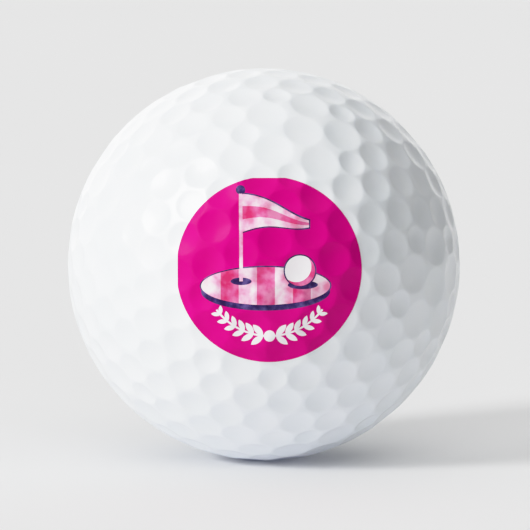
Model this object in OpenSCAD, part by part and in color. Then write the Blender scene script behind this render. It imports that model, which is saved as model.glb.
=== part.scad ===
// Golf ball in three layers, with a round print on its front.
// A rubber core sits in a thin casing, the mantle, and a dimpled cover is moulded round both.
// The print is a disc of magenta ink with a flag, a green and a ball let into it in four more inks.
// Millimetres. The origin is the middle of the ball, +Z is up and the print faces -Y.

/* [Ball] */
// Diameter of the finished ball
ball_d = 42.7; // [42.67:0.01:43]
// Diameter of the rubber core
core_d = 38.5; // [36:0.1:39]
// Wall of the casing between the core and the cover
mantle_t = 1.1; // [0.8:0.1:1.2]

/* [Dimples] */
// Rim diameter of the large dimples
large_d = 4.25; // [3.8:0.05:4.25]
// Rim diameter of the medium dimples
medium_d = 3.6; // [3.2:0.05:3.6]
// Rim diameter of the small dimples
small_d = 3; // [2.6:0.05:3]
// Depth of every dimple below the surface of the ball
dimple_depth = 0.26; // [0.2:0.01:0.3]
// How the dimple pattern is turned on the ball, about X, then Y, then Z
pattern_turn = [-13.7, -15.7, 6.7]; // [-180:0.1:180]

/* [Print] */
// Diameter of the printed disc, measured straight across
print_d = 19.6; // [19:0.1:22]
// How far the disc is trimmed flat at the left and at the top
print_trim = 0.15; // [0:0.05:0.4]
// Thickness of the ink
ink_t = 0.05; // [0.03:0.01:0.06]
// How far the print is turned up from level as the ball lies
print_lift = 5; // [0:1:15]

/* [Picture on the print] */
// Width of the green, across its widest part
green_w = 13.6; // [11:0.2:14]
// Height of the green, as drawn
green_h = 4; // [3:0.2:4.2]
// Height of the flagstick above the hole
stick_h = 9.2; // [7:0.2:9.4]
// Length of the pennant
flag_l = 7; // [4:0.2:7.4]
// Height of the pennant where it meets the stick
flag_h = 4; // [3:0.2:4.4]
// Diameter of the drawn ball
drawn_ball_d = 3.2; // [2:0.1:3.4]
// Width of the dark lines round the pennant, the green and the ball
line_w = 0.14; // [0.1:0.02:0.2]
// Length of the largest leaf of the garland
leaf_l = 1.7; // [1.4:0.1:1.8]
// Number of leaf pairs on each side of the bead in the middle
leaf_pairs = 6; // [3:1:6]

/* [Hidden] */

ball_r = ball_d / 2;
core_r = core_d / 2;
mantle_r = core_r + mantle_t;
print_r = print_d / 2;

// The pattern repeats round the twelve five-fold points of an icosahedron.
// Each row is one kind of place in the fan about such a point:
// [angle out from the point, turn from the line to the next point, rim diameter, fan hands].
// A turn of 0 lies on that line, and a turn of 36 on the line to the middle of a triangle.
point_step = acos(1 / sqrt(5));
midway_turn = 17.5;
midway_angle = atan(tan(point_step / 2) / cos(midway_turn));
BOTH = [1, -1];
ONE = [1];
PLACES = [
    [11.9, 36, large_d, ONE],
    [16.8, 0, small_d, ONE],
    [22.2, 22.6, medium_d, BOTH],
    [26.4, 0, medium_d, ONE],
    [31.6, 36, medium_d, ONE],
    [midway_angle, midway_turn, medium_d, ONE]
];

// The five-fold points: [angle down from the top, turn about the axis, turn of the fan].
FIVES = concat(
    [[0, 0, 0]],
    [for (k = [0:4]) [point_step, 72 * k, 36]],
    [for (k = [0:4]) [180 - point_step, 36 + 72 * k, 0]],
    [[180, 0, 0]]
);

// How far the tool that cuts a dimple reaches past its rim, above the ball and below the bowl
rim_margin = 0.03;
above_ball = 0.3;
below_bowl = 0.1;

// Where the drawn things are on the disc, from its middle
hole_at = [-3, -1.2];
green_at = [-0.4, -1.7];
drawn_ball_at = [3.2, -0.1];

// The hole and the flagstick in it, with a round finial that stands on the end of the stick
hole_w = 2.2;
hole_h = 0.8;
stick_w = 0.36;
finial_d = 1;
finial_rise = 0.4;

// The pennant hangs in one soft wave and tapers to a blunt tip. These are its wave in height and
// in degrees, its droop, the part of its height lost at the tip, and the part that its band takes.
flag_wave = 0.32;
flag_wave_turn = 290;
flag_droop = 0.9;
flag_taper = 0.82;
flag_band_share = 0.35;
flag_steps = 24;

// The green shows its thick edge below it, and has mown stripes across it.
green_edge_h = 0.6;
stripe_w = 1.9;
stripe_step = 3.8;

// The light on the drawn ball is moved up and left by this much. Its shadow lies under it on the right.
ball_light_shift = 0.4;
ball_shadow_shift = [0.3, 0.1];
ball_shadow_h = 0.9;

// A garland of leaves hangs along the foot of the disc, on a thin cord with a bead in the middle.
// Leaf pairs are garland_step degrees apart. The first is drawn in towards the bead by a part of a step,
// each is smaller than the last by leaf_fall of the largest, and the cord ends a little past the last.
garland_r = 7;
garland_step = 8.4;
garland_lead = 0.35;
leaf_share = 0.42;
leaf_fall = 0.07;
leaf_turn = 42;
cord_w = 0.2;
cord_end = 0.3;
bead_d = 1.2;

// Sides of the round outlines, the balls, the bowls of the dimples and the ellipses
arc_fn = 400;
ball_fn = 160;
bowl_fn = 48;
ellipse_fn = 60;

function along_x(v, a) = [v.x, v.y * cos(a) - v.z * sin(a), v.y * sin(a) + v.z * cos(a)];
function along_y(v, a) = [v.x * cos(a) + v.z * sin(a), v.y, v.z * cos(a) - v.x * sin(a)];
function along_z(v, a) = [v.x * cos(a) - v.y * sin(a), v.x * sin(a) + v.y * cos(a), v.z];
function out_at(angle, turn) = [sin(angle) * cos(turn), sin(angle) * sin(turn), cos(angle)];

// A place in the fan of one five-fold point, as a direction in the pattern.
function in_fan(five, angle, turn) = along_z(along_y(out_at(angle, turn + five[2]), five[0]), five[1]);

// A direction in the pattern, as a direction on the ball.
function on_ball(v) = along_z(along_y(along_x(v, pattern_turn.x), pattern_turn.y), pattern_turn.z);

// Every dimple of the ball: [direction, rim diameter].
DIMPLES = [
    for (five = FIVES)
        each concat(
            [[on_ball(in_fan(five, 0, 0)), large_d]],
            [
                for (place = PLACES, step = [0:4], hand = place[3])
                    [on_ball(in_fan(five, place[0], 72 * step + hand * place[1])), place[2]]
            ]
        )
];

// The dimples that the print reaches.
print_reach = asin((print_r + large_d) / ball_r);
PRINTED_DIMPLES = [for (dimple = DIMPLES) if (-dimple[0].y > cos(print_reach)) dimple];

// ---------- the dimpled surface ----------

// The bowl that one dimple takes out of the ball, on +Z.
// Its wall is part of a sphere. A rise of ink_t gives the bowl in the face of the ink.
module dimple_bowl(rim_d, rise) {
    rim_z = sqrt(ball_r * ball_r - rim_d * rim_d / 4);
    sag = dimple_depth - (ball_r - rim_z);
    bowl_r = (rim_d * rim_d / 4 + sag * sag) / (2 * sag);
    rotate_extrude($fn = bowl_fn)
        intersection() {
            translate([0, rim_z - sag + bowl_r])
                circle(r = bowl_r - rise, $fn = arc_fn);
            translate([0, ball_r - dimple_depth - below_bowl])
                square([rim_d / 2 + rim_margin, dimple_depth + below_bowl + above_ball]);
        }
}

module dimple_bowls(dimples, rise = 0) {
    for (dimple = dimples)
        rotate([0, acos(dimple[0].z), atan2(dimple[0].y, dimple[0].x)])
            dimple_bowl(dimple[1], rise);
}

module as_it_lies() {
    rotate([-print_lift, 0, 0])
        children();
}

// ---------- the drawings, seen from the front ----------

module ellipse(w, h) {
    turns = [for (k = [0:ellipse_fn - 1]) 360 * k / ellipse_fn];
    polygon([for (turn = turns) [w / 2 * cos(turn), h / 2 * sin(turn)]]);
}

module disc_outline() {
    intersection() {
        circle(r = print_r, $fn = arc_fn);
        translate([print_trim - print_r, -print_r])
            square([print_d, print_d - print_trim]);
    }
}

// The green, or with a margin the green and the line round it
module green_outline(margin = 0) {
    translate(green_at)
        ellipse(green_w + 2 * margin, green_h + 2 * margin);
}

// The middle line of the pennant and half its height, at a share t of its length
function flag_mid(t) = flag_wave * sin(flag_wave_turn * t) - flag_droop * t - flag_h / 2;
function flag_half(t) = flag_h / 2 * (1 - flag_taper * t);

// The band of the pennant between two levels, where -1 is its foot and 1 is its top.
// The margin widens it above and below, and beyond the tip.
module flag_band(low, high, margin = 0) {
    shares = [for (k = [0:flag_steps]) k / flag_steps];
    end = flag_l + margin;
    top = [for (t = shares) [end * t, flag_mid(t) + high * flag_half(t) + margin]];
    foot = [for (t = shares) [end * (1 - t), flag_mid(1 - t) + low * flag_half(1 - t) - margin]];
    translate([hole_at.x + stick_w / 2, hole_at.y + stick_h])
        polygon(concat(top, foot));
}

module flag_outline(margin = 0) {
    flag_band(-1, 1, margin);
}

module stick_outline() {
    translate([hole_at.x - stick_w / 2, hole_at.y])
        square([stick_w, stick_h]);
}

module finial_outline() {
    translate([hole_at.x, hole_at.y + stick_h + finial_rise])
        circle(d = finial_d, $fn = arc_fn);
}

module hole_outline() {
    translate(hole_at)
        ellipse(hole_w, hole_h);
}

module ball_outline(margin = 0) {
    translate(drawn_ball_at)
        circle(d = drawn_ball_d + 2 * margin, $fn = arc_fn);
}

// The side of the drawn ball that is turned from the light
module ball_shade() {
    difference() {
        ball_outline();
        translate(drawn_ball_at + [-ball_light_shift, ball_light_shift])
            circle(d = drawn_ball_d, $fn = arc_fn);
    }
}

// A leaf between two equal arcs, with its stalk at the origin and its tip on +X
module leaf(l) {
    w = leaf_share * l;
    arc_r = (l * l + w * w) / (4 * w);
    intersection() {
        translate([l / 2, arc_r - w / 2])
            circle(r = arc_r, $fn = arc_fn);
        translate([l / 2, w / 2 - arc_r])
            circle(r = arc_r, $fn = arc_fn);
    }
}

module half_garland() {
    for (k = [1:leaf_pairs], side = [-1, 1])
        rotate(garland_step * (k - garland_lead))
            translate([0, -garland_r])
                rotate(side * leaf_turn)
                    leaf(leaf_l * (1 - leaf_fall * k));
}

module cord_outline() {
    half_span = garland_step * (leaf_pairs + cord_end);
    far = 2 * garland_r;
    intersection() {
        difference() {
            circle(r = garland_r + cord_w / 2, $fn = arc_fn);
            circle(r = garland_r - cord_w / 2, $fn = arc_fn);
        }
        polygon([
            [0, 0],
            far * [-sin(half_span), -cos(half_span)],
            [0, -2 * far],
            far * [sin(half_span), -cos(half_span)]
        ]);
    }
}

module garland() {
    half_garland();
    mirror([1, 0])
        half_garland();
    cord_outline();
    translate([0, -garland_r])
        circle(d = bead_d, $fn = arc_fn);
}

// ---------- which ink lies where ----------

module navy_area() {
    difference() {
        union() {
            hole_outline();
            finial_outline();
            ball_outline(line_w);
            difference() {
                flag_outline(line_w);
                flag_outline();
            }
            // The line round the green, and its shaded edge
            difference() {
                union() {
                    green_outline(line_w);
                    translate([0, -green_edge_h])
                        green_outline();
                }
                green_outline();
            }
            // The shadow under the drawn ball
            translate(drawn_ball_at + ball_shadow_shift - [0, drawn_ball_d / 2])
                ellipse(drawn_ball_d, ball_shadow_h);
        }
        ball_outline();
        stick_outline();
    }
}

module white_area() {
    difference() {
        ball_outline();
        ball_shade();
    }
    garland();
}

module rose_area() {
    ball_shade();
    flag_band(-flag_band_share, flag_band_share);
    difference() {
        // Mown stripes across the green
        intersection() {
            green_outline();
            for (side = [-1, 0, 1])
                translate(green_at + [stripe_step * side, 0])
                    square([stripe_w, 2 * green_h], center = true);
        }
        stick_outline();
        ball_outline();
        navy_area();
    }
}

module pale_area() {
    difference() {
        union() {
            green_outline();
            flag_outline();
        }
        rose_area();
        navy_area();
        ball_outline();
    }
    stick_outline();
}

// ---------- the inks ----------

// A drawing of ink over the dimpled face of the cover.
module ink() {
    as_it_lies()
        difference() {
            intersection() {
                difference() {
                    sphere(r = ball_r + ink_t, $fn = ball_fn);
                    dimple_bowls(PRINTED_DIMPLES, ink_t);
                }
                rotate([90, 0, 0])
                    linear_extrude(ball_d)
                        children();
            }
            difference() {
                sphere(r = ball_r, $fn = ball_fn);
                dimple_bowls(PRINTED_DIMPLES);
            }
        }
}

module magenta_ink() {
    color("mediumvioletred")
        ink()
            difference() {
                disc_outline();
                pale_area();
                rose_area();
                navy_area();
                white_area();
            }
}

module pale_pink_ink() {
    color("pink")
        ink()
            pale_area();
}

module rose_ink() {
    color("palevioletred")
        ink()
            rose_area();
}

module navy_ink() {
    color("darkslateblue")
        ink()
            navy_area();
}

module white_ink() {
    color("white")
        ink()
            white_area();
}

// ---------- the ball ----------

module core() {
    color("steelblue")
        sphere(r = core_r, $fn = ball_fn);
}

module mantle() {
    color("lightgrey")
        difference() {
            sphere(r = mantle_r, $fn = ball_fn);
            sphere(r = core_r, $fn = ball_fn);
        }
}

module cover() {
    color("whitesmoke")
        as_it_lies()
            difference() {
                sphere(r = ball_r, $fn = ball_fn);
                sphere(r = mantle_r, $fn = ball_fn);
                dimple_bowls(DIMPLES);
            }
}

core();
mantle();
cover();
magenta_ink();
pale_pink_ink();
rose_ink();
navy_ink();
white_ink();
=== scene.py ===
"""Looks of a printed golf ball, built round its CAD frame.

Lengths are in millimetres until a mesh is made, and in metres from there on.
+Z is up and the print faces -Y.
"""
import math

import bmesh
import bpy
import numpy as np
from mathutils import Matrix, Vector
from mathutils.geometry import delaunay_2d_cdt
from mathutils.kdtree import KDTree


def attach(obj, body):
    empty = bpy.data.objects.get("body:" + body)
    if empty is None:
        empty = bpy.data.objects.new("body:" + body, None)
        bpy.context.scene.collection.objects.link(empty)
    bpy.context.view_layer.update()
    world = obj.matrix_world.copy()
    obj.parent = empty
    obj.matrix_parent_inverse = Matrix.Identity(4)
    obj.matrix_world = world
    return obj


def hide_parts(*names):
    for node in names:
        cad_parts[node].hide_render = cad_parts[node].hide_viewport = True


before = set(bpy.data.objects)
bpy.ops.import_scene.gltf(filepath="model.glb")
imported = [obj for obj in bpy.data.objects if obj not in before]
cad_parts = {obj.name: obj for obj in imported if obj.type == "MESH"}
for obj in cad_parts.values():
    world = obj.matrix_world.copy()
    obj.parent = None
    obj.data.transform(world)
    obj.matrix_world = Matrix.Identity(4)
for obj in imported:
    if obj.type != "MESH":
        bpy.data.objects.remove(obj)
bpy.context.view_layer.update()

MM = 0.001

# ---------- sizes, as in the design ----------

BALL_R = 42.7 / 2
MANTLE_R = 38.5 / 2 + 1.1
LARGE_D = 4.25
MEDIUM_D = 3.6
SMALL_D = 3.0
DIMPLE_DEPTH = 0.26
PATTERN_TURN = (-13.7, -15.7, 6.7)

PRINT_R = 19.6 / 2
PRINT_TRIM = 0.15
PRINT_LIFT = 5

GREEN_AT = (-0.4, -1.7)
GREEN_W = 13.6
GREEN_H = 4.0
GREEN_EDGE_H = 0.6
STRIPE_W = 1.9
STRIPE_STEP = 3.8

HOLE_AT = (-3.0, -1.2)
HOLE_W = 2.2
HOLE_H = 0.8
STICK_H = 9.2
STICK_W = 0.36
FINIAL_D = 1.0
FINIAL_RISE = 0.4

# The pennant's length and height, its wave in height and in degrees, its droop, the part of its height
# that is lost at the tip, and the part that its band takes
FLAG_L = 7.0
FLAG_H = 4.0
FLAG_WAVE = 0.32
FLAG_WAVE_TURN = 290
FLAG_DROOP = 0.9
FLAG_TAPER = 0.82
FLAG_BAND = 0.35

DRAWN_BALL_AT = (3.2, -0.1)
DRAWN_BALL_D = 3.2
BALL_LIGHT_SHIFT = 0.4
BALL_SHADOW_SHIFT = (0.3, 0.1)
BALL_SHADOW_H = 0.9
LINE_W = 0.14

# Leaf pairs are GARLAND_STEP degrees apart. The first is drawn in towards the bead by a part of a step,
# each is smaller than the last by LEAF_FALL of the largest, and the cord ends a little past the last.
GARLAND_R = 7.0
GARLAND_STEP = 8.4
GARLAND_LEAD = 0.35
LEAF_L = 1.7
LEAF_SHARE = 0.42
LEAF_FALL = 0.07
LEAF_TURN = 42
LEAF_PAIRS = 6
CORD_W = 0.2
CORD_END = 0.3
BEAD_D = 1.2

# How far the rims of the dimples are rounded
RIM_BLEND = 0.035
# How far the inks stand off the cover, which is less than in the design
INK_RISE = 0.03


# ---------- the dimple pattern ----------


def turn_x(degrees):
    a = math.radians(degrees)
    return np.array([[1, 0, 0], [0, math.cos(a), -math.sin(a)], [0, math.sin(a), math.cos(a)]])


def turn_y(degrees):
    a = math.radians(degrees)
    return np.array([[math.cos(a), 0, math.sin(a)], [0, 1, 0], [-math.sin(a), 0, math.cos(a)]])


def turn_z(degrees):
    a = math.radians(degrees)
    return np.array([[math.cos(a), -math.sin(a), 0], [math.sin(a), math.cos(a), 0], [0, 0, 1]])


def out_at(angle, turn):
    """The direction that lies angle away from +Z, turned about it."""
    a = math.radians(angle)
    t = math.radians(turn)
    return np.array([math.sin(a) * math.cos(t), math.sin(a) * math.sin(t), math.cos(a)])


def dimple_pattern():
    """Directions and rim diameters of the dimples: a fan about each five-fold point of an icosahedron."""
    point_step = math.degrees(math.acos(1 / math.sqrt(5)))
    midway_turn = 17.5
    half_step = math.radians(point_step / 2)
    midway_angle = math.degrees(math.atan(math.tan(half_step) / math.cos(math.radians(midway_turn))))
    # Places in a fan: (angle out from its point, turn, rim diameter)
    places = [
        (11.9, 36, LARGE_D),
        (16.8, 0, SMALL_D),
        (22.2, 22.6, MEDIUM_D),
        (22.2, -22.6, MEDIUM_D),
        (26.4, 0, MEDIUM_D),
        (31.6, 36, MEDIUM_D),
        (midway_angle, midway_turn, MEDIUM_D),
    ]
    # Five-fold points: (angle down from the top, turn about the axis, turn of the fan)
    fives = [(0, 0, 0)]
    fives += [(point_step, 72 * k, 36) for k in range(5)]
    fives += [(180 - point_step, 36 + 72 * k, 0) for k in range(5)]
    fives += [(180, 0, 0)]
    directions = []
    diameters = []
    for down, about, fan in fives:
        to_point = turn_z(about) @ turn_y(down)
        directions.append(to_point @ out_at(0, 0))
        diameters.append(LARGE_D)
        for angle, turn, diameter in places:
            for step in range(5):
                directions.append(to_point @ out_at(angle, turn + fan + 72 * step))
                diameters.append(diameter)
    on_ball = turn_z(PATTERN_TURN[2]) @ turn_y(PATTERN_TURN[1]) @ turn_x(PATTERN_TURN[0])
    return np.array(directions) @ on_ball.T, np.array(diameters)


DIMPLES, RIM_D = dimple_pattern()
# Each dimple's wall is part of a sphere that stands outside the ball.
RIM_Z = np.sqrt(BALL_R**2 - RIM_D**2 / 4)
SAG = DIMPLE_DEPTH - (BALL_R - RIM_Z)
BOWL_R = (RIM_D**2 / 4 + SAG**2) / (2 * SAG)
BOWL_Z = RIM_Z - SAG + BOWL_R


def blended_lower(a, b):
    """The lower of two distances, with the corner between them rounded."""
    near = np.clip(1 - np.abs(a - b) / RIM_BLEND, 0, 1)
    return np.minimum(a, b) - near**2 * RIM_BLEND / 4


def surface_radius(directions):
    """Distance from the middle of the ball to its dimpled surface in each direction."""
    chunk = 8000
    radii = []
    for start in range(0, len(directions), chunk):
        along = directions[start:start + chunk] @ DIMPLES.T
        under = BOWL_R**2 - BOWL_Z**2 * (1 - along**2)
        bowls = BOWL_Z * along - np.sqrt(np.maximum(under, 0))
        bowls[(under < 0) | (along < 0)] = 2 * BALL_R
        bowls = np.partition(bowls, 1, axis=1)
        radius = blended_lower(np.full(len(bowls), BALL_R), bowls[:, 0])
        radii.append(blended_lower(radius, bowls[:, 1]))
    return np.concatenate(radii)


# ---------- the cover ----------


def rim_shares(directions):
    """How far each direction lies from the nearest dimple's middle, as a share of its rim radius."""
    along = np.clip(directions @ DIMPLES.T, -1, 1)
    return (np.arccos(along) / np.arcsin(RIM_D / 2 / BALL_R)).min(axis=1)


def across(axis):
    """Two directions at right angles to an axis and to each other."""
    side = np.cross(axis, [0.3, 0.5, 0.8])
    side /= np.linalg.norm(side)
    return side, np.cross(axis, side)


def ring_points(rings):
    """Directions in rings about every dimple. A ring is (share of the rim radius, number of points)."""
    points = []
    for axis, rim_d in zip(DIMPLES, RIM_D):
        side, other = across(axis)
        rim_angle = math.asin(rim_d / 2 / BALL_R)
        for k, (share, count) in enumerate(rings):
            a = share * rim_angle
            t = 2 * math.pi * (np.arange(count) + 0.5 * (k % 2)) / count
            round_it = np.outer(np.cos(t), side) + np.outer(np.sin(t), other)
            points.append(math.cos(a) * axis + math.sin(a) * round_it)
    return np.concatenate(points)


def even_points(count):
    """Directions spread evenly over the sphere on a spiral."""
    k = np.arange(count) + 0.5
    z = 1 - 2 * k / count
    turn = math.pi * (1 + math.sqrt(5)) * k
    r = np.sqrt(1 - z * z)
    return np.stack([r * np.cos(turn), r * np.sin(turn), z], axis=1)


def cover_directions():
    """Directions over the whole cover, closest together where a rim bends."""
    middles = DIMPLES
    inside = ring_points([(0.26, 8), (0.5, 14), (0.72, 20), (0.86, 26), (0.94, 30), (1.0, 32)])
    outside = ring_points([(1.05, 32), (1.14, 26)])
    fill = even_points(24000)
    outside = outside[rim_shares(outside) > 1.03]
    fill = fill[rim_shares(fill) > 1.2]
    return np.concatenate([middles, inside, outside, fill])


def sphere_triangles(directions):
    """Delaunay triangles over the whole sphere.

    The points are laid flat by looking from the first one through the ball, which keeps circles round.
    The first one is then joined to the ring of points that ends up on the outside.
    """
    same_point = 1e-9
    pole = directions[0]
    side, other = across(pole)
    rest = directions[1:]
    scale = 1 / (1 - rest @ pole)
    flat = [Vector((x, y)) for x, y in zip(rest @ side * scale, rest @ other * scale)]
    _, _, faces, sources, _, _ = delaunay_2d_cdt(flat, [], [], 0, same_point)
    index = [source[0] + 1 for source in sources]
    triangles = [[index[i] for i in face] for face in faces]
    used = set()
    for a, b, c in triangles:
        used.update(((a, b), (b, c), (c, a)))
    triangles += [[b, a, 0] for a, b in used if (b, a) not in used]
    return triangles


def new_object(name, points, faces):
    """An object from points in millimetres in the ball's own frame, laid down as the ball lies."""
    mesh = bpy.data.meshes.new(name)
    lying = np.asarray(points) @ turn_x(-PRINT_LIFT).T * MM
    mesh.from_pydata(lying.tolist(), [], faces)
    mesh.validate()
    obj = bpy.data.objects.new(name, mesh)
    bpy.context.scene.collection.objects.link(obj)
    return obj


def face_outward(obj):
    """Turn every face's normal outwards."""
    edit = bmesh.new()
    edit.from_mesh(obj.data)
    bmesh.ops.recalc_face_normals(edit, faces=edit.faces)
    edit.to_mesh(obj.data)
    edit.free()


def build_cover():
    """The dimpled cover as a closed shell, with its smooth inner wall on the mantle."""
    directions = cover_directions()
    outer = directions * surface_radius(directions)[:, None]
    faces = sphere_triangles(directions)
    wall = even_points(3000)
    wall = np.concatenate([[[0, 0, 1]], wall])
    inner_faces = [[i + len(outer) for i in face] for face in sphere_triangles(wall)]
    cover = new_object("cover_shell", np.concatenate([outer, wall * MANTLE_R]), faces + inner_faces)
    face_outward(cover)
    cover.data.shade_smooth()
    return cover


# ---------- the drawings of the print, seen from the front ----------


def circle(centre, diameter, steps=96):
    """A circle as steps points, from its right and anticlockwise."""
    t = 2 * np.pi * np.arange(steps) / steps
    return np.stack([centre[0] + diameter / 2 * np.cos(t), centre[1] + diameter / 2 * np.sin(t)], axis=1)


def ellipse(centre, width, height):
    t = 2 * np.pi * np.arange(120) / 120
    return np.stack([centre[0] + width / 2 * np.cos(t), centre[1] + height / 2 * np.sin(t)], axis=1)


def rectangle(low, high):
    return np.array([low, (high[0], low[1]), high, (low[0], high[1])], dtype=float)


def disc_outline():
    """The edge of the print, trimmed flat at its left and top."""
    points = circle((0, 0), 2 * PRINT_R, 360)
    points[:, 0] = np.maximum(points[:, 0], PRINT_TRIM - PRINT_R)
    points[:, 1] = np.minimum(points[:, 1], PRINT_R - PRINT_TRIM)
    return points


def flag_band(low, high, margin=0):
    """The band of the pennant between two levels, where -1 is its foot and 1 is its top.

    The margin widens it above and below, and beyond the tip.
    """
    t = np.linspace(0, 1, 49)
    mid = FLAG_WAVE * np.sin(np.radians(FLAG_WAVE_TURN * t)) - FLAG_DROOP * t - FLAG_H / 2
    half = FLAG_H / 2 * (1 - FLAG_TAPER * t)
    along = (FLAG_L + margin) * t
    top = np.stack([along, mid + high * half + margin], axis=1)
    foot = np.stack([along, mid + low * half - margin], axis=1)[::-1]
    return np.concatenate([top, foot]) + (HOLE_AT[0] + STICK_W / 2, HOLE_AT[1] + STICK_H)


def leaf(length):
    """A leaf between two equal arcs, with its stalk at the origin and its tip on +X."""
    width = LEAF_SHARE * length
    arc_r = (length**2 + width**2) / (4 * width)
    half = math.asin(length / 2 / arc_r)
    t = np.linspace(-half, half, 17)
    upper = np.stack([length / 2 + arc_r * np.sin(t), arc_r * np.cos(t) - arc_r + width / 2], axis=1)
    lower = upper[::-1][1:-1] * (1, -1)
    return np.concatenate([upper, lower])


def turned(points, degrees):
    return points @ turn_z(degrees)[:2, :2].T


def garland_leaves():
    leaves = []
    for k in range(1, LEAF_PAIRS + 1):
        for side in (-1, 1):
            one = turned(leaf(LEAF_L * (1 - LEAF_FALL * k)), side * LEAF_TURN) + (0, -GARLAND_R)
            one = turned(one, GARLAND_STEP * (k - GARLAND_LEAD))
            leaves += [one, one[::-1] * (-1, 1)]
    return leaves


def cord():
    half_span = GARLAND_STEP * (LEAF_PAIRS + CORD_END)
    t = np.radians(np.linspace(-half_span, half_span, 81))
    arc = np.stack([np.sin(t), -np.cos(t)], axis=1)
    return np.concatenate([arc * (GARLAND_R + CORD_W / 2), arc[::-1] * (GARLAND_R - CORD_W / 2)])


def shifted(centre, x, y):
    return (centre[0] + x, centre[1] + y)


def mown_stripe(side):
    """One stripe across the green, a little longer than the green is high."""
    middle = shifted(GREEN_AT, STRIPE_STEP * side, 0)
    half_w = STRIPE_W / 2
    half_l = 0.55 * GREEN_H
    return rectangle(shifted(middle, -half_w, -half_l), shifted(middle, half_w, half_l))


def drawn_ball_shadow():
    """A flat shadow under the drawn ball."""
    middle = shifted(DRAWN_BALL_AT, BALL_SHADOW_SHIFT[0], BALL_SHADOW_SHIFT[1] - DRAWN_BALL_D / 2)
    return ellipse(middle, DRAWN_BALL_D, BALL_SHADOW_H)


# The closed outlines of the drawing, by what they bound
OUTLINES = {
    "disc": [disc_outline()],
    "green": [ellipse(GREEN_AT, GREEN_W, GREEN_H)],
    "green_line": [ellipse(GREEN_AT, GREEN_W + 2 * LINE_W, GREEN_H + 2 * LINE_W)],
    "green_foot": [ellipse(shifted(GREEN_AT, 0, -GREEN_EDGE_H), GREEN_W, GREEN_H)],
    "stripes": [mown_stripe(side) for side in (-1, 0, 1)],
    "flag": [flag_band(-1, 1)],
    "flag_line": [flag_band(-1, 1, LINE_W)],
    "flag_band": [flag_band(-FLAG_BAND, FLAG_BAND)],
    "stick": [rectangle(shifted(HOLE_AT, -STICK_W / 2, 0), shifted(HOLE_AT, STICK_W / 2, STICK_H))],
    "finial": [circle(shifted(HOLE_AT, 0, STICK_H + FINIAL_RISE), FINIAL_D)],
    "hole": [ellipse(HOLE_AT, HOLE_W, HOLE_H)],
    "ball": [circle(DRAWN_BALL_AT, DRAWN_BALL_D)],
    "ball_line": [circle(DRAWN_BALL_AT, DRAWN_BALL_D + 2 * LINE_W)],
    "ball_light": [circle(shifted(DRAWN_BALL_AT, -BALL_LIGHT_SHIFT, BALL_LIGHT_SHIFT), DRAWN_BALL_D)],
    "ball_shadow": [drawn_ball_shadow()],
    "garland": garland_leaves() + [cord(), circle((0, -GARLAND_R), BEAD_D, 48)],
}


def inside(points, outline):
    """Which points lie inside a closed outline."""
    x, y = points[:, 0:1], points[:, 1:2]
    ax, ay = outline[:, 0], outline[:, 1]
    bx, by = np.roll(ax, -1), np.roll(ay, -1)
    level = by - ay
    crosses = (ay > y) != (by > y)
    at_x = ax + (y - ay) * (bx - ax) / np.where(level == 0, 1, level)
    return (crosses & (x < at_x)).sum(axis=1) % 2 == 1


def inks_at(points):
    """Which ink lies at each point of the print, by name."""
    within = {}
    for name, loops in OUTLINES.items():
        within[name] = np.any([inside(points, outline) for outline in loops], axis=0)
    navy = within["hole"] | within["finial"] | within["ball_shadow"] | within["ball_line"]
    navy |= (within["green_foot"] | within["green_line"]) & ~within["green"]
    navy |= within["flag_line"] & ~within["flag"]
    # The first rule that holds at a point names its ink.
    rules = [
        ("white_print", within["ball"] & within["ball_light"]),
        ("rose_print", within["ball"]),
        ("pale_pink_print", within["stick"]),
        ("white_print", within["garland"]),
        ("navy_print", navy),
        ("rose_print", within["flag_band"] | (within["stripes"] & within["green"])),
        ("pale_pink_print", within["flag"] | within["green"]),
        ("magenta_print", within["disc"]),
    ]
    return np.select([where for _, where in rules], [name for name, _ in rules], default="")


# ---------- the inks ----------


def finely(outline):
    """A closed outline with points added wherever one of its sides is long."""
    longest = 0.2
    points = []
    for start, end in zip(outline, np.roll(outline, -1, axis=0)):
        count = math.ceil(np.linalg.norm(end - start) / longest)
        points += [start + (end - start) * k / count for k in range(count)]
    return np.array(points)


def filler_points():
    """Points inside the print: an even grid, and rings where the rims of the dimples bend."""
    step = 0.24
    clear_edge = 0.1
    front = 0.8
    rows = np.arange(-PRINT_R, PRINT_R, step * math.sqrt(3) / 2)
    grid = []
    for k, y in enumerate(rows):
        grid += [(x + 0.5 * step * (k % 2), y) for x in np.arange(-PRINT_R, PRINT_R, step)]
    rings = ring_points([(0.94, 30), (1.0, 32), (1.05, 32)])
    rings = rings[rings[:, 1] < -front]
    points = np.concatenate([grid, rings[:, [0, 2]] * BALL_R])
    return points[np.hypot(points[:, 0], points[:, 1]) < PRINT_R - clear_edge]


def print_triangles():
    """Points and triangles over the whole print, with an edge along every outline."""
    clear = 0.07
    same_point = 1e-5
    loops = [finely(outline) for group in OUTLINES.values() for outline in group]
    corners = []
    edges = []
    for outline in loops:
        first = len(corners)
        corners += outline.tolist()
        edges += [(first + i, first + (i + 1) % len(outline)) for i in range(len(outline))]
    drawn = KDTree(len(corners))
    for i, (x, y) in enumerate(corners):
        drawn.insert((x, y, 0), i)
    drawn.balance()
    corners += [(x, y) for x, y in filler_points() if drawn.find((x, y, 0))[2] > clear]
    laid, _, faces, _, _, _ = delaunay_2d_cdt([Vector(p) for p in corners], edges, [], 0, same_point)
    return np.array([tuple(p) for p in laid]), np.array([list(face) for face in faces])


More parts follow.
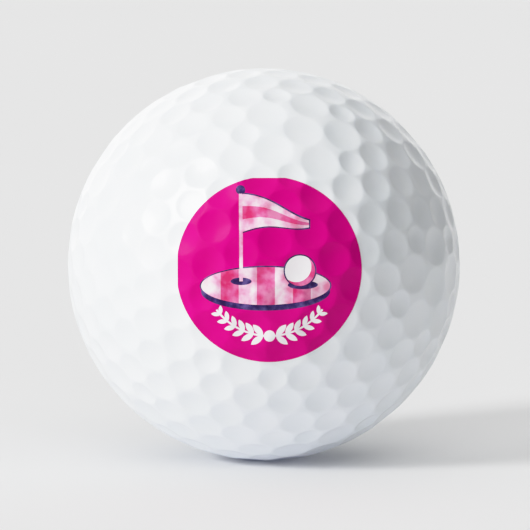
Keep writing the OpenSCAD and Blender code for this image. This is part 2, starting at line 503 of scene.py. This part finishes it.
def on_cover(flat, rise):
    """Points of the flat drawing carried straight back onto the cover, and raised off it."""
    radius = np.full(len(flat), BALL_R)
    for _ in range(5):
        depth = np.sqrt(radius**2 - flat[:, 0] ** 2 - flat[:, 1] ** 2)
        directions = np.stack([flat[:, 0], -depth, flat[:, 1]], axis=1) / radius[:, None]
        directions /= np.linalg.norm(directions, axis=1)[:, None]
        radius = surface_radius(directions)
    return directions * (radius + rise)[:, None]


def build_ink(name, flat, triangles):
    """One ink as a thin closed skin on the cover."""
    used, local = np.unique(triangles, return_inverse=True)
    local = local.reshape(triangles.shape)
    count = len(used)
    points = np.concatenate([on_cover(flat[used], INK_RISE), on_cover(flat[used], 0)])
    faces = local.tolist() + (local[:, ::-1] + count).tolist()
    used_edges = set()
    for a, b, c in local.tolist():
        used_edges.update(((a, b), (b, c), (c, a)))
    faces += [[b, a, a + count, b + count] for a, b in used_edges if (b, a) not in used_edges]
    ink = new_object(name, points, faces)
    face_outward(ink)
    ink.data.shade_smooth()
    ink.data.set_sharp_from_angle(angle=math.radians(40))
    return ink


def build_inks():
    flat, triangles = print_triangles()
    names = inks_at(flat[triangles].mean(axis=1))
    return {name: build_ink(name, flat, triangles[names == name]) for name in INKS}


# ---------- materials ----------


def new_material(name):
    material = bpy.data.materials.new(name)
    material.use_nodes = True
    return material, material.node_tree.nodes, material.node_tree.links


def noise(material, per_metre, detail=3.0):
    """A noise texture fixed to the ball, with per_metre features to the metre."""
    nodes = material.node_tree.nodes
    links = material.node_tree.links
    place = nodes.new("ShaderNodeTexCoord")
    texture = nodes.new("ShaderNodeTexNoise")
    texture.inputs["Scale"].default_value = per_metre
    texture.inputs["Detail"].default_value = detail
    texture.inputs["Roughness"].default_value = 0.5
    links.new(place.outputs["Object"], texture.inputs["Vector"])
    return texture.outputs["Fac"]


def ramp(material, value, stops):
    """A colour ramp over value. Each stop is (position, colour)."""
    nodes = material.node_tree.nodes
    node = nodes.new("ShaderNodeValToRGB")
    while len(node.color_ramp.elements) < len(stops):
        node.color_ramp.elements.new(0.5)
    for element, (position, colour) in zip(node.color_ramp.elements, stops):
        element.position = position
        element.color = (*colour, 1)
    material.node_tree.links.new(value, node.inputs["Fac"])
    return node.outputs["Color"]


def spread(material, value, low, high):
    """value, mostly between 0.3 and 0.7 as noise is, spread between low and high."""
    node = material.node_tree.nodes.new("ShaderNodeMapRange")
    node.inputs["From Min"].default_value = 0.3
    node.inputs["From Max"].default_value = 0.7
    node.inputs["To Min"].default_value = low
    node.inputs["To Max"].default_value = high
    material.node_tree.links.new(value, node.inputs["Value"])
    return node.outputs["Result"]


def bump(material, value, height_m, strength):
    """Fine relief in the finish, height_m metres high."""
    node = material.node_tree.nodes.new("ShaderNodeBump")
    node.inputs["Strength"].default_value = strength
    node.inputs["Distance"].default_value = height_m
    links = material.node_tree.links
    links.new(value, node.inputs["Height"])
    links.new(node.outputs["Normal"], material.node_tree.nodes["Principled BSDF"].inputs["Normal"])


def gloss_coat(shader, weight):
    """The clear coat that lies over the whole ball."""
    shader.inputs["Coat Weight"].default_value = weight
    shader.inputs["Coat Roughness"].default_value = 0.12
    shader.inputs["Coat IOR"].default_value = 1.5


def cover_material():
    """White urethane under clear coat: hardly any colour, a faint mottle and a soft skin."""
    material, nodes, links = new_material("white_urethane")
    shader = nodes["Principled BSDF"]
    dark = (0.82, 0.86, 0.89)
    light = (0.86, 0.89, 0.92)
    tone = ramp(material, noise(material, per_metre=220), [(0.35, dark), (0.65, light)])
    links.new(tone, shader.inputs["Base Color"])
    links.new(spread(material, noise(material, per_metre=900), 0.30, 0.40), shader.inputs["Roughness"])
    bump(material, noise(material, per_metre=2600, detail=2.0), height_m=0.00001, strength=0.25)
    shader.inputs["Subsurface Weight"].default_value = 0.15
    shader.inputs["Subsurface Radius"].default_value = (0.0006, 0.0006, 0.0007)
    shader.inputs["Subsurface Scale"].default_value = 1.0
    gloss_coat(shader, 0.35)
    return material


def ink_material(name, tones, per_metre):
    """Printed ink, whose tones run into one another as in a watercolour."""
    material, nodes, links = new_material(name)
    shader = nodes["Principled BSDF"]
    first = 0.36
    last = 0.64
    stops = [(first + (last - first) * k / (len(tones) - 1), tone) for k, tone in enumerate(tones)]
    links.new(ramp(material, noise(material, per_metre), stops), shader.inputs["Base Color"])
    links.new(spread(material, noise(material, per_metre=1500), 0.34, 0.44), shader.inputs["Roughness"])
    bump(material, noise(material, per_metre=5000, detail=2.0), height_m=0.000006, strength=0.25)
    shader.inputs["Specular IOR Level"].default_value = 0.03
    gloss_coat(shader, 0.03)
    return material


def core_material():
    """Moulded rubber: matt, with pale specks of filler."""
    material, nodes, links = new_material("core_rubber")
    shader = nodes["Principled BSDF"]
    rubber = (0.06, 0.20, 0.36)
    filler = (0.30, 0.48, 0.60)
    specks = ramp(material, noise(material, per_metre=1400, detail=4.0), [(0.58, rubber), (0.72, filler)])
    links.new(specks, shader.inputs["Base Color"])
    links.new(spread(material, noise(material, per_metre=500), 0.70, 0.85), shader.inputs["Roughness"])
    bump(material, noise(material, per_metre=3000, detail=2.0), height_m=0.00003, strength=0.4)
    return material


def mantle_material():
    """Moulded ionomer: cloudy and waxy."""
    material, nodes, links = new_material("mantle_ionomer")
    shader = nodes["Principled BSDF"]
    dark = (0.62, 0.64, 0.60)
    light = (0.76, 0.77, 0.74)
    cloud = ramp(material, noise(material, per_metre=160), [(0.35, dark), (0.65, light)])
    links.new(cloud, shader.inputs["Base Color"])
    links.new(spread(material, noise(material, per_metre=700), 0.42, 0.55), shader.inputs["Roughness"])
    shader.inputs["Subsurface Weight"].default_value = 0.2
    shader.inputs["Subsurface Radius"].default_value = (0.001, 0.001, 0.001)
    shader.inputs["Subsurface Scale"].default_value = 1.0
    return material


def paint(obj, material):
    obj.data.materials.clear()
    obj.data.materials.append(material)


# ---------- the stage ----------


def build_floor():
    """A wide pale floor that the ball lies on."""
    half = 4.0
    level = -BALL_R * MM
    mesh = bpy.data.meshes.new("floor")
    corners = [(-half, -half, level), (half, -half, level), (half, half, level), (-half, half, level)]
    mesh.from_pydata(corners, [], [(0, 1, 2, 3)])
    floor = bpy.data.objects.new("floor", mesh)
    bpy.context.scene.collection.objects.link(floor)
    material, nodes, links = new_material("pale_floor")
    shader = nodes["Principled BSDF"]
    dark = (0.80, 0.80, 0.80)
    light = (0.81, 0.81, 0.81)
    tone = ramp(material, noise(material, per_metre=3), [(0.3, dark), (0.7, light)])
    links.new(tone, shader.inputs["Base Color"])
    shader.inputs["Roughness"].default_value = 0.9
    shader.inputs["Specular IOR Level"].default_value = 0.1
    paint(floor, material)
    return floor


def from_side(turn, height):
    """The direction towards a light: turn is measured from -Y towards +X, both in degrees."""
    t = math.radians(turn)
    h = math.radians(height)
    return Vector((math.sin(t) * math.cos(h), -math.cos(t) * math.cos(h), math.sin(h)))


WHITE = (1.0, 1.0, 1.0)
# The ball and the floor each have their own suns. table_glow is light that the table throws back.
# name: (turn, height and width in degrees, strength, colour, what it falls on)
LAMPS = {
    "key": (-58, 36, 30, 2.26, WHITE, "ball"),
    "key_low": (-58, 12, 50, 1.15, WHITE, "ball"),
    "top": (0, 80, 90, 1.15, WHITE, "ball"),
    "back": (180, 10, 60, 0.57, WHITE, "ball"),
    "back_left": (-150, 15, 50, 0.44, WHITE, "ball"),
    "table_glow": (-60, -45, 60, 0.45, (0.655, 0.697, 1.0), "ball"),
    "floor_key": (-60, 22, 15, 2.53, WHITE, "floor"),
    "floor_top": (0, 90, 90, 1.54, WHITE, "floor"),
    "floor_front": (0, 30, 40, 0.78, WHITE, "floor"),
    "floor_right": (60, 12, 30, 0.86, WHITE, "floor"),
}


def light_group(name, objects):
    """A collection that limits a light to some of the objects."""
    group = bpy.data.collections.new(name)
    for obj in objects:
        group.objects.link(obj)
    return group


def add_lamps(ball, floor):
    """Soft suns, some for the ball and some for the floor. Only the ball casts shadows."""
    ball_group = light_group("ball", ball)
    reach = {"ball": ball_group, "floor": light_group("floor", [floor])}
    for name, (turn, height, width, strength, colour, falls_on) in LAMPS.items():
        lamp = bpy.data.lights.new(name, "SUN")
        lamp.energy = strength
        lamp.angle = math.radians(width)
        lamp.color = colour
        sun = bpy.data.objects.new(name, lamp)
        sun.rotation_euler = from_side(turn, height).to_track_quat("Z", "Y").to_euler()
        bpy.context.scene.collection.objects.link(sun)
        sun.light_linking.receiver_collection = reach[falls_on]
        sun.light_linking.blocker_collection = ball_group


def add_backdrop():
    """Light from a wide pale wall behind the ball, strongest straight ahead of the camera."""
    world = bpy.data.worlds.new("backdrop")
    world.use_nodes = True
    nodes = world.node_tree.nodes
    links = world.node_tree.links
    place = nodes.new("ShaderNodeTexCoord")
    split = nodes.new("ShaderNodeSeparateXYZ")
    strength = nodes.new("ShaderNodeMath")
    strength.operation = "MULTIPLY"
    strength.use_clamp = True
    strength.inputs[1].default_value = 0.51
    links.new(place.outputs["Generated"], split.inputs["Vector"])
    links.new(split.outputs["Y"], strength.inputs[0])
    links.new(strength.outputs["Value"], nodes["Background"].inputs["Strength"])
    nodes["Background"].inputs["Color"].default_value = (1, 1, 1, 1)
    bpy.context.scene.world = world


def film_response(light):
    """How bright the picture gets: true to the light at first, then levelling off towards white."""
    knee = 0.6
    if light < knee:
        return light
    return knee + (1 - knee) * (1 - math.exp((knee - light) / (1 - knee)))


def set_picture():
    """Standard colours, with whites that roll off softly instead of clipping."""
    brightest = 2.0
    steps = 20
    view = bpy.context.scene.view_settings
    view.view_transform = "Standard"
    view.use_curve_mapping = True
    view.curve_mapping.white_level = (brightest, brightest, brightest)
    all_channels = view.curve_mapping.curves[3]
    all_channels.points[1].location = (1, film_response(brightest))
    for k in range(1, steps):
        all_channels.points.new(k / steps, film_response(brightest * k / steps))
    view.curve_mapping.update()


def add_camera():
    """A long lens, a little above the ball, as in the photograph."""
    turn = -1.65
    height = PRINT_LIFT + 1.57
    away = 30 * BALL_R * MM
    picture_px = 530
    data = bpy.data.cameras.new("camera")
    data.sensor_width = 36
    data.lens = 399.4
    data.shift_x = 1.1 / picture_px
    data.shift_y = -0.6 / picture_px
    data.clip_start = 0.01
    data.clip_end = 20
    camera = bpy.data.objects.new("camera", data)
    camera.location = from_side(turn, height) * away
    camera.rotation_euler = from_side(turn, height).to_track_quat("Z", "Y").to_euler()
    bpy.context.scene.collection.objects.link(camera)
    bpy.context.scene.camera = camera


# ---------- putting it together ----------

# The tones of each ink, from the darkest to the lightest
MAGENTA = [(0.62, 0.001, 0.212), (0.68, 0.002, 0.240)]
PALE_PINK = [(0.80, 0.24, 0.42), (0.87, 0.42, 0.61), (0.92, 0.62, 0.75), (0.94, 0.80, 0.86)]
ROSE = [(0.68, 0.03, 0.16), (0.74, 0.11, 0.32), (0.84, 0.26, 0.48)]
NAVY = [(0.03, 0.012, 0.08), (0.05, 0.03, 0.14), (0.12, 0.08, 0.26)]
PAPER_WHITE = [(0.92, 0.87, 0.91), (0.96, 0.94, 0.96)]

# name: (design node, slot, tones, how many blots to the metre)
INKS = {
    "magenta_print": ("magenta_ink", "ink_magenta", MAGENTA, 260),
    "pale_pink_print": ("pale_pink_ink", "ink_pale_pink", PALE_PINK, 620),
    "rose_print": ("rose_ink", "ink_rose", ROSE, 620),
    "navy_print": ("navy_ink", "ink_navy", NAVY, 1100),
    "white_print": ("white_ink", "ink_white", PAPER_WHITE, 420),
}


def main():
    cover = build_cover()
    inks = build_inks()
    paint(cover, cover_material())
    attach(cover, "root")
    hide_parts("cover")
    for name, ink in inks.items():
        node, slot, tones, per_metre = INKS[name]
        paint(ink, ink_material(name, tones, per_metre))
        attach(ink, "root")
        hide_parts(node)
    paint(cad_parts["core"], core_material())
    paint(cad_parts["mantle"], mantle_material())
    add_lamps([cover, *inks.values()], build_floor())
    add_backdrop()
    add_camera()
    set_picture()


main()
